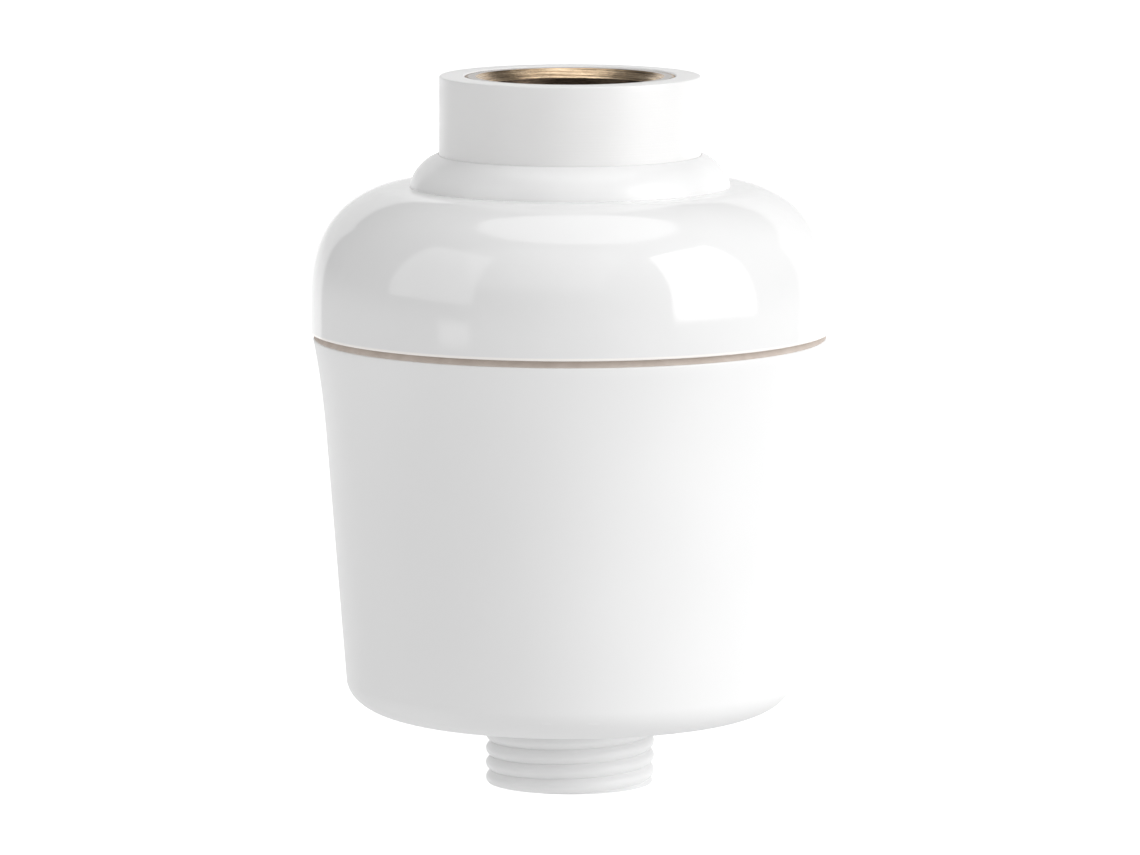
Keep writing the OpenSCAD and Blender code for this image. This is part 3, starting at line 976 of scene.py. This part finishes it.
def grain_places(node, r, dice):
    """Where a bed's outermost grains lie: rows against its wall, and a sunflower's pattern on each face."""
    edge, z0, z1 = high(node).x - r, low(node).z + r, high(node).z - r
    around = int(TURN * edge / (2 * r))
    rows = max(2, 1 + round((z1 - z0) / (ROW_STEP * r)))
    places = []
    for j in range(rows):
        for i in range(around):
            a = TURN * (i + 0.5 * (j % 2)) / around
            inward = edge - dice.uniform(0, WALL_PLAY * r)
            places.append((inward * math.cos(a), inward * math.sin(a), z0 + (z1 - z0) * j / (rows - 1)))
    reach = edge - FACE_BACK * r
    count = int((reach / r) ** 2)
    for z, inside in ((z0, 1), (z1, -1)):
        for i in range(count):
            a = GOLDEN_ANGLE * i + z
            away = reach * math.sqrt((i + 0.5) / count) + dice.uniform(-WALL_PLAY, WALL_PLAY) * r
            sunk = dice.uniform(0, FACE_PLAY * r)
            places.append((away * math.cos(a), away * math.sin(a), z + inside * sunk))
    return places


def grain_bed(name, node, r, detail, rough, seed, sharp=SMOOTH):
    """Grains packed round a core. Rough ones have each corner drawn in by up to a share of their radius."""
    dice = random.Random(seed)
    ball_points, triangles = ball(detail)
    points, faces = [], []
    for place_at in grain_places(node, r, dice):
        turn = Euler([dice.uniform(0, TURN) for _ in range(3)]).to_matrix()
        size = r * dice.uniform(0.88, 1.0)
        first = len(points)
        for point in ball_points:
            points.append(Vector(place_at) + turn @ point * size * (1 - rough * dice.random()))
        faces += [[first + index for index in triangle] for triangle in triangles]
    back = r * CORE_BACK
    edge, z0, z1 = high(node).x - back, low(node).z + back, high(node).z - back
    core = lathe("core", [(0.01, z0), (edge, z0), (edge, z1), (0.01, z1)], 96)
    return joined(name, [from_lists("grains", points, faces, sharp), core], sharp)


def refinish(node, material):
    """Gives a CAD node that is shown as it is its finish."""
    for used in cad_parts[node].material_slots:
        used.material = material


place(housing_cup(), "housing_cup", "housing", "housing_cup", SATIN)
place(housing_gasket(), "housing_gasket", "housing", "housing_gasket", TAN_RUBBER)
place(cap_shell(), "cap_shell", "cap", "cap_shell", GLOSS)
place(neck_ring(), "neck_ring", "cap", "neck_ring", SOFT_GLOSS)
place(inlet_collar(), "inlet_collar", "inlet", "inlet_collar", LINED)
place(inlet_insert(), "inlet_insert", "inlet", "insert_brass", BRASS)
place(inlet_washer(), "inlet_washer", "inlet", "washer_rubber", BLACK_RUBBER)
inlet_mesh = woven_screen("inlet_mesh", "inlet_screen", rim_w=0.6, pitch=0.5)
place(inlet_mesh, "inlet_screen", "inlet", "mesh_steel", STEEL)

top_mesh = woven_screen("top_mesh", "top_screen", rim_w=1.2, pitch=1.1)
top_cotton = cotton_pad("top_cotton", "top_pad", seed=3)
white_beads = grain_bed("white_beads", "sulfite_beads", r=1.25, detail=2, rough=0.0, seed=11)
upper_cloth = cloth_divider("upper_cloth", "upper_divider")
metal_grains = grain_bed("metal_grains", "kdf_granules", r=0.9, detail=1, rough=0.3, seed=12, sharp=20)
middle_cloth = cloth_divider("middle_cloth", "middle_divider")
clay_balls = grain_bed("clay_balls", "ceramic_balls", r=1.3, detail=2, rough=0.02, seed=13)
lower_cloth = cloth_divider("lower_cloth", "lower_divider")
black_grains = grain_bed("black_grains", "carbon_granules", r=1.15, detail=1, rough=0.35, seed=14, sharp=20)
bottom_cotton = cotton_pad("bottom_cotton", "bottom_pad", seed=4)
bottom_mesh = woven_screen("bottom_mesh", "bottom_screen", rim_w=1.2, pitch=1.1)

CARTRIDGE_LAYERS = (
    (top_mesh, "top_screen", "mesh_steel", STEEL),
    (top_cotton, "top_pad", "filter_cotton", COTTON),
    (white_beads, "sulfite_beads", "sulfite_white", SULFITE),
    (upper_cloth, "upper_divider", "divider_fabric", CLOTH),
    (metal_grains, "kdf_granules", "kdf_metal", COPPER_ZINC),
    (middle_cloth, "middle_divider", "divider_fabric", CLOTH),
    (clay_balls, "ceramic_balls", "ceramic_tan", CERAMIC),
    (lower_cloth, "lower_divider", "divider_fabric", CLOTH),
    (black_grains, "carbon_granules", "carbon_black", CARBON),
    (bottom_cotton, "bottom_pad", "filter_cotton", COTTON),
    (bottom_mesh, "bottom_screen", "mesh_steel", STEEL),
)
for piece, node, slot_name, material in CARTRIDGE_LAYERS:
    place(piece, node, "cartridge", slot_name, material)

refinish("slip_ring", WAXY)
refinish("neck_o_ring", BLACK_RUBBER)
refinish("swivel_o_ring", BLACK_RUBBER)
refinish("cartridge_shell", CARTRIDGE)
refinish("cartridge_lid", CARTRIDGE)

# ---- Studio ----

# Metres and watts
CENTRE = Vector((0, 0, 0.0441))
FRONT = Vector((-0.2, -0.72, 0.67)).normalized()
CAMERA_AT = Vector((0, -1.0, 0.17659))
CAMERA_LENS = 258.7  # mm, on a sensor 36 mm wide


def lamp(name, shape, size, place_at, towards, power):
    """An area light that the camera doesn't see, facing along the direction given."""
    data = bpy.data.lights.new(name, "AREA")
    data.shape = shape
    data.size, data.size_y = size
    data.energy = power
    light = bpy.data.objects.new(name, data)
    light.location = place_at
    light.rotation_mode = "QUATERNION"
    light.rotation_quaternion = Vector(towards).to_track_quat("-Z", "Y")
    light.visible_camera = False
    bpy.context.scene.collection.objects.link(light)


def standing_box(name, azimuth, width, bottom, top, power, distance=1.5):
    """An upright softbox that faces the part. Azimuth 0 is on the camera's side and 90 on the right.

    Its bottom and top are levels above the part's middle.
    """
    a = math.radians(azimuth)
    away = Vector((math.sin(a), -math.cos(a), 0))
    middle = away * distance + Vector((0, 0, CENTRE.z + (bottom + top) / 2))
    lamp(name, "RECTANGLE", (width, top - bottom), middle, -away, power)


def overhead_disc(name, x, y, width, power, height=1.5):
    """A round softbox above the part, facing down."""
    lamp(name, "DISK", (width, width), (x, y, CENTRE.z + height), (0, 0, -1), power)


def studio_floor():
    """A pale floor that only the camera sees, and only from above. The world lights the part from below."""
    bm = bmesh.new()
    bmesh.ops.create_grid(bm, x_segments=1, y_segments=1, size=6)
    floor = finished("floor", bm)
    s = Surface("white_floor")
    s.set(Roughness=1.0, Specular_IOR_Level=0.0, Emission_Color=(1, 1, 1, 1), Emission_Strength=0.6)
    s.link(s.ramp(s.noise(0.002, 2), [(0.3, white(0.86)), (0.7, white(0.88))]), "Base Color")
    seen = s.nodes.new("ShaderNodeMixShader")
    behind = s.nodes.new("ShaderNodeNewGeometry").outputs["Backfacing"]
    out = s.nodes["Material Output"].inputs["Surface"]
    s.links.new(behind, seen.inputs["Fac"])
    s.links.new(s.shader.outputs["BSDF"], seen.inputs[1])
    s.links.new(s.nodes.new("ShaderNodeBsdfTransparent").outputs["BSDF"], seen.inputs[2])
    s.links.new(seen.outputs["Shader"], out)
    floor.data.materials.append(s.material)
    for rays in ("visible_diffuse", "visible_glossy", "visible_transmission", "visible_shadow"):
        setattr(floor, rays, False)


def studio_world(below, above):
    """Even light from below the horizon and from above it."""
    world = bpy.data.worlds.new("studio")
    world.use_nodes = True
    nodes, links = world.node_tree.nodes, world.node_tree.links
    way = nodes.new("ShaderNodeSeparateXYZ")
    links.new(nodes.new("ShaderNodeTexCoord").outputs["Generated"], way.inputs["Vector"])
    level = nodes.new("ShaderNodeMapRange")
    level.inputs["From Min"].default_value = -0.1
    level.inputs["From Max"].default_value = 0.1
    level.inputs["To Min"].default_value = below
    level.inputs["To Max"].default_value = above
    links.new(way.outputs["Z"], level.inputs["Value"])
    links.new(level.outputs["Result"], nodes["Background"].inputs["Strength"])
    nodes["Background"].inputs["Color"].default_value = (1, 1, 1, 1)
    bpy.context.scene.world = world


def studio_camera():
    data = bpy.data.cameras.new("camera")
    data.lens = CAMERA_LENS
    data.sensor_width = 36
    camera = bpy.data.objects.new("camera", data)
    camera.location = CAMERA_AT
    camera.rotation_mode = "QUATERNION"
    camera.rotation_quaternion = (CENTRE - CAMERA_AT).to_track_quat("-Z", "Y")
    bpy.context.scene.collection.objects.link(camera)
    bpy.context.scene.camera = camera


studio_floor()
studio_world(below=0.79, above=0.18)
standing_box("right_box", azimuth=67, width=1.16, bottom=-0.05, top=1.75, power=26)
standing_box("left_box", azimuth=-65, width=1.2, bottom=0.17, top=1.75, power=8)
standing_box("low_card", azimuth=-51.5, width=0.39, bottom=-0.19, top=-0.06, power=0.22)
standing_box("backdrop", azimuth=170, width=3.4, bottom=-0.6, top=0.95, power=11.5)
overhead_disc("top_disc", x=0.06, y=0.15, width=1.35, power=7)
lamp("front_fill", "RECTANGLE", (1.8, 1.3), CENTRE + FRONT * 1.6, -FRONT, 3.5)
studio_camera()
bpy.context.scene.view_settings.view_transform = "Standard"
